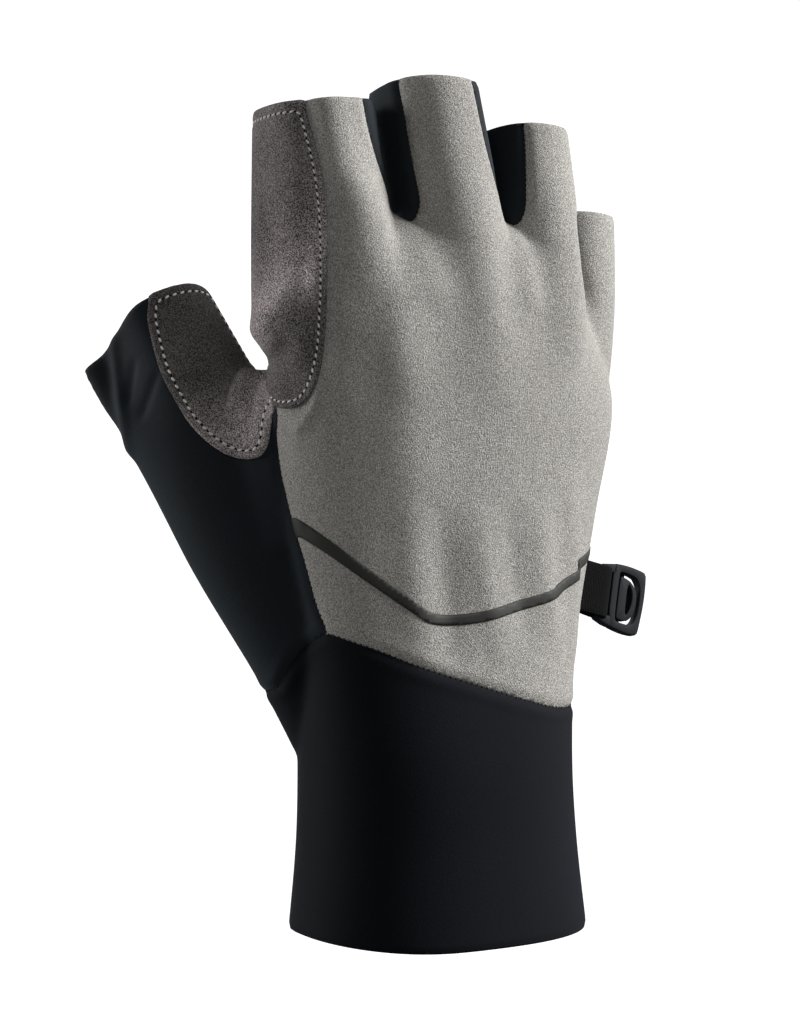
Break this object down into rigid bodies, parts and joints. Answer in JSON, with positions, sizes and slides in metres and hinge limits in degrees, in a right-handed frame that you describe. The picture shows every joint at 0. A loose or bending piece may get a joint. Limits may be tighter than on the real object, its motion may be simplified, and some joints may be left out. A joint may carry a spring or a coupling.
{
  "type": "fingerless hiking glove",
  "caption": "Right-hand fingerless hiking glove with a stretch back, suede patches, long knit cuff, dark stripe and a small side clip on a strap.",
  "frame": {"origin": "centre of the wrist opening, at the lower rim of the cuff on the little finger's side", "axes": "+Z from the cuff towards the fingers, -Y out of the back of the hand, +Y out of the palm, -X towards the thumb, +X towards the little finger"},
  "size_m": [0.124, 0.0746, 0.1888],
  "materials": {
    "grey_stretch": "matt",
    "black_stretch": "matt",
    "black_knit": "matt",
    "taupe_suede": "matt",
    "dark_film": "satin",
    "black_webbing": "matt",
    "grey_plastic": "satin"
  },
  "bodies": {
    "root": {"cuff": "black_knit", "back_panel": "grey_stretch", "palm_panel": "taupe_suede", "thumb_sleeve": "black_stretch", "fourchette_index_middle": "black_stretch", "fourchette_middle_ring": "black_stretch", "fourchette_ring_little": "black_stretch", "index_patch": "taupe_suede", "thumb_patch": "taupe_suede", "stripe": "dark_film", "clip": "grey_plastic", "strap": "black_webbing"}
  },
  "joints": []
}
